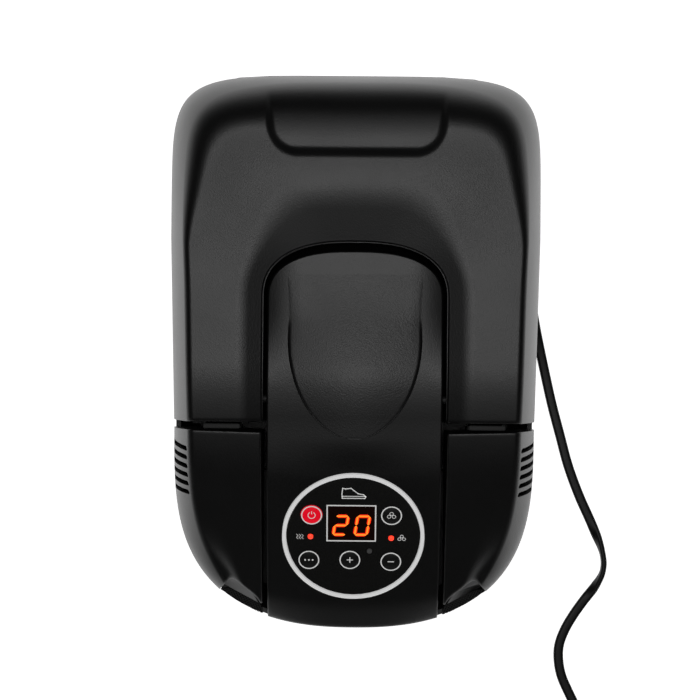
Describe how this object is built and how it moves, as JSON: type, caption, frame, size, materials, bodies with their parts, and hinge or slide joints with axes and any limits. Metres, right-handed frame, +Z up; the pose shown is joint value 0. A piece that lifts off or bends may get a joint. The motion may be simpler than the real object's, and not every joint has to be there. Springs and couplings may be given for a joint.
{
  "type": "shoe dryer",
  "caption": "Flat tabletop shoe dryer: lifting hood over folding air nozzles, tilted round control panel with display and keys, vented sides, mains cord.",
  "frame": {"origin": "on the floor plane, under the middle of the body, cord left out", "axes": "+Z up out of the top, +Y to the rear where the hood lifts, +X to the right seen from above with the panel towards the user"},
  "size_m": [0.2483, 0.4372, 0.1098],
  "materials": {
    "matte_black": "moulded, fine grained",
    "gloss_black": "smooth gloss",
    "white_ring": "smooth",
    "red_key": "smooth",
    "red_window": "smooth, tinted",
    "led_red": "clear",
    "grey_sensor": "smooth",
    "dark_internal": "moulded",
    "rubber_black": "matt",
    "cord_rubber": "satin",
    "steel": "plain",
    "copper": "plain",
    "ceramic": "matt",
    "circuit_board": "lacquered"
  },
  "bodies": {
    "base": {"air_duct": "dark_internal", "base_tray": "matte_black", "blower_housing": "dark_internal", "blower_motor": "steel", "catch_magnet": "steel", "centre_spine": "steel", "control_board": "circuit_board", "cord_coil": "cord_rubber", "cord_gland": "cord_rubber", "cord_tail": "cord_rubber", "display_module": "dark_internal", "display_window": "red_window", "dry_led": "led_red", "front_left_foot": "rubber_black", "front_right_foot": "rubber_black", "heater_core": "copper", "heater_frame": "ceramic", "left_corner_grille": "matte_black", "left_front_cover": "matte_black", "left_hood_pin": "steel", "left_nozzle_bracket": "dark_internal", "left_nozzle_pin": "steel", "left_nozzle_spring": "steel", "light_sensor": "grey_sensor", "mains_cord": "cord_rubber", "mains_plug": "cord_rubber", "ozone_led": "led_red", "ozone_module": "dark_internal", "panel_carrier": "dark_internal", "panel_fascia": "gloss_black", "panel_ring": "white_ring", "power_board": "circuit_board", "rear_deck": "matte_black", "rear_left_foot": "rubber_black", "rear_left_screw": "steel", "rear_right_foot": "rubber_black", "rear_right_screw": "steel", "right_corner_grille": "matte_black", "right_front_cover": "matte_black", "right_hood_pin": "steel", "right_nozzle_bracket": "dark_internal", "right_nozzle_pin": "steel", "right_nozzle_spring": "steel", "spine_pad": "matte_black", "transformer": "steel"},
    "hood": {"hood_shell": "matte_black", "left_hinge_cheek": "steel", "right_hinge_cheek": "steel", "catch_plate": "steel"},
    "left_nozzle_arm": {"left_nozzle": "matte_black", "left_nozzle_grille": "dark_internal"},
    "right_nozzle_arm": {"right_nozzle": "matte_black", "right_nozzle_grille": "dark_internal"},
    "blower_wheel": {"impeller": "dark_internal"},
    "on_off_button": {"on_off_key": "red_key"},
    "ozone_button": {"ozone_key": "gloss_black"},
    "preset_button": {"preset_key": "gloss_black"},
    "time_up_button": {"time_up_key": "gloss_black"},
    "time_down_button": {"time_down_key": "gloss_black"}
  },
  "joints": [
    {"name": "hood_lift", "type": "hinge", "parent": "base", "child": "hood", "pos_m": [0, -0.0254, 0.094], "axis": [1, 0, 0], "range_deg": [0, 90]},
    {"name": "left_nozzle_rise", "type": "hinge", "parent": "base", "child": "left_nozzle_arm", "pos_m": [-0.07, -0.031, 0.067], "axis": [1, 0, 0], "range_deg": [0, 45]},
    {"name": "right_nozzle_rise", "type": "hinge", "parent": "base", "child": "right_nozzle_arm", "pos_m": [0.07, -0.031, 0.067], "axis": [1, 0, 0], "range_deg": [0, 45]},
    {"name": "blower_spin", "type": "hinge", "parent": "base", "child": "blower_wheel", "pos_m": [0, -0.002, 0.025], "axis": [0, 0, 1], "continuous": true},
    {"name": "on_off_press", "type": "slide", "parent": "base", "child": "on_off_button", "axis": [0, 0.4226, -0.9063], "range_m": [0, 0.0006], "stiffness_N_per_m": 400},
    {"name": "ozone_press", "type": "slide", "parent": "base", "child": "ozone_button", "axis": [0, 0.4226, -0.9063], "range_m": [0, 0.0006], "stiffness_N_per_m": 400},
    {"name": "preset_press", "type": "slide", "parent": "base", "child": "preset_button", "axis": [0, 0.4226, -0.9063], "range_m": [0, 0.0006], "stiffness_N_per_m": 400},
    {"name": "time_up_press", "type": "slide", "parent": "base", "child": "time_up_button", "axis": [0, 0.4226, -0.9063], "range_m": [0, 0.0006], "stiffness_N_per_m": 400},
    {"name": "time_down_press", "type": "slide", "parent": "base", "child": "time_down_button", "axis": [0, 0.4226, -0.9063], "range_m": [0, 0.0006], "stiffness_N_per_m": 400}
  ],
  "couplings": [
    {"joint": "left_nozzle_rise", "follows": "hood_lift", "ratio": 0.5},
    {"joint": "right_nozzle_rise", "follows": "hood_lift", "ratio": 0.5}
  ]
}
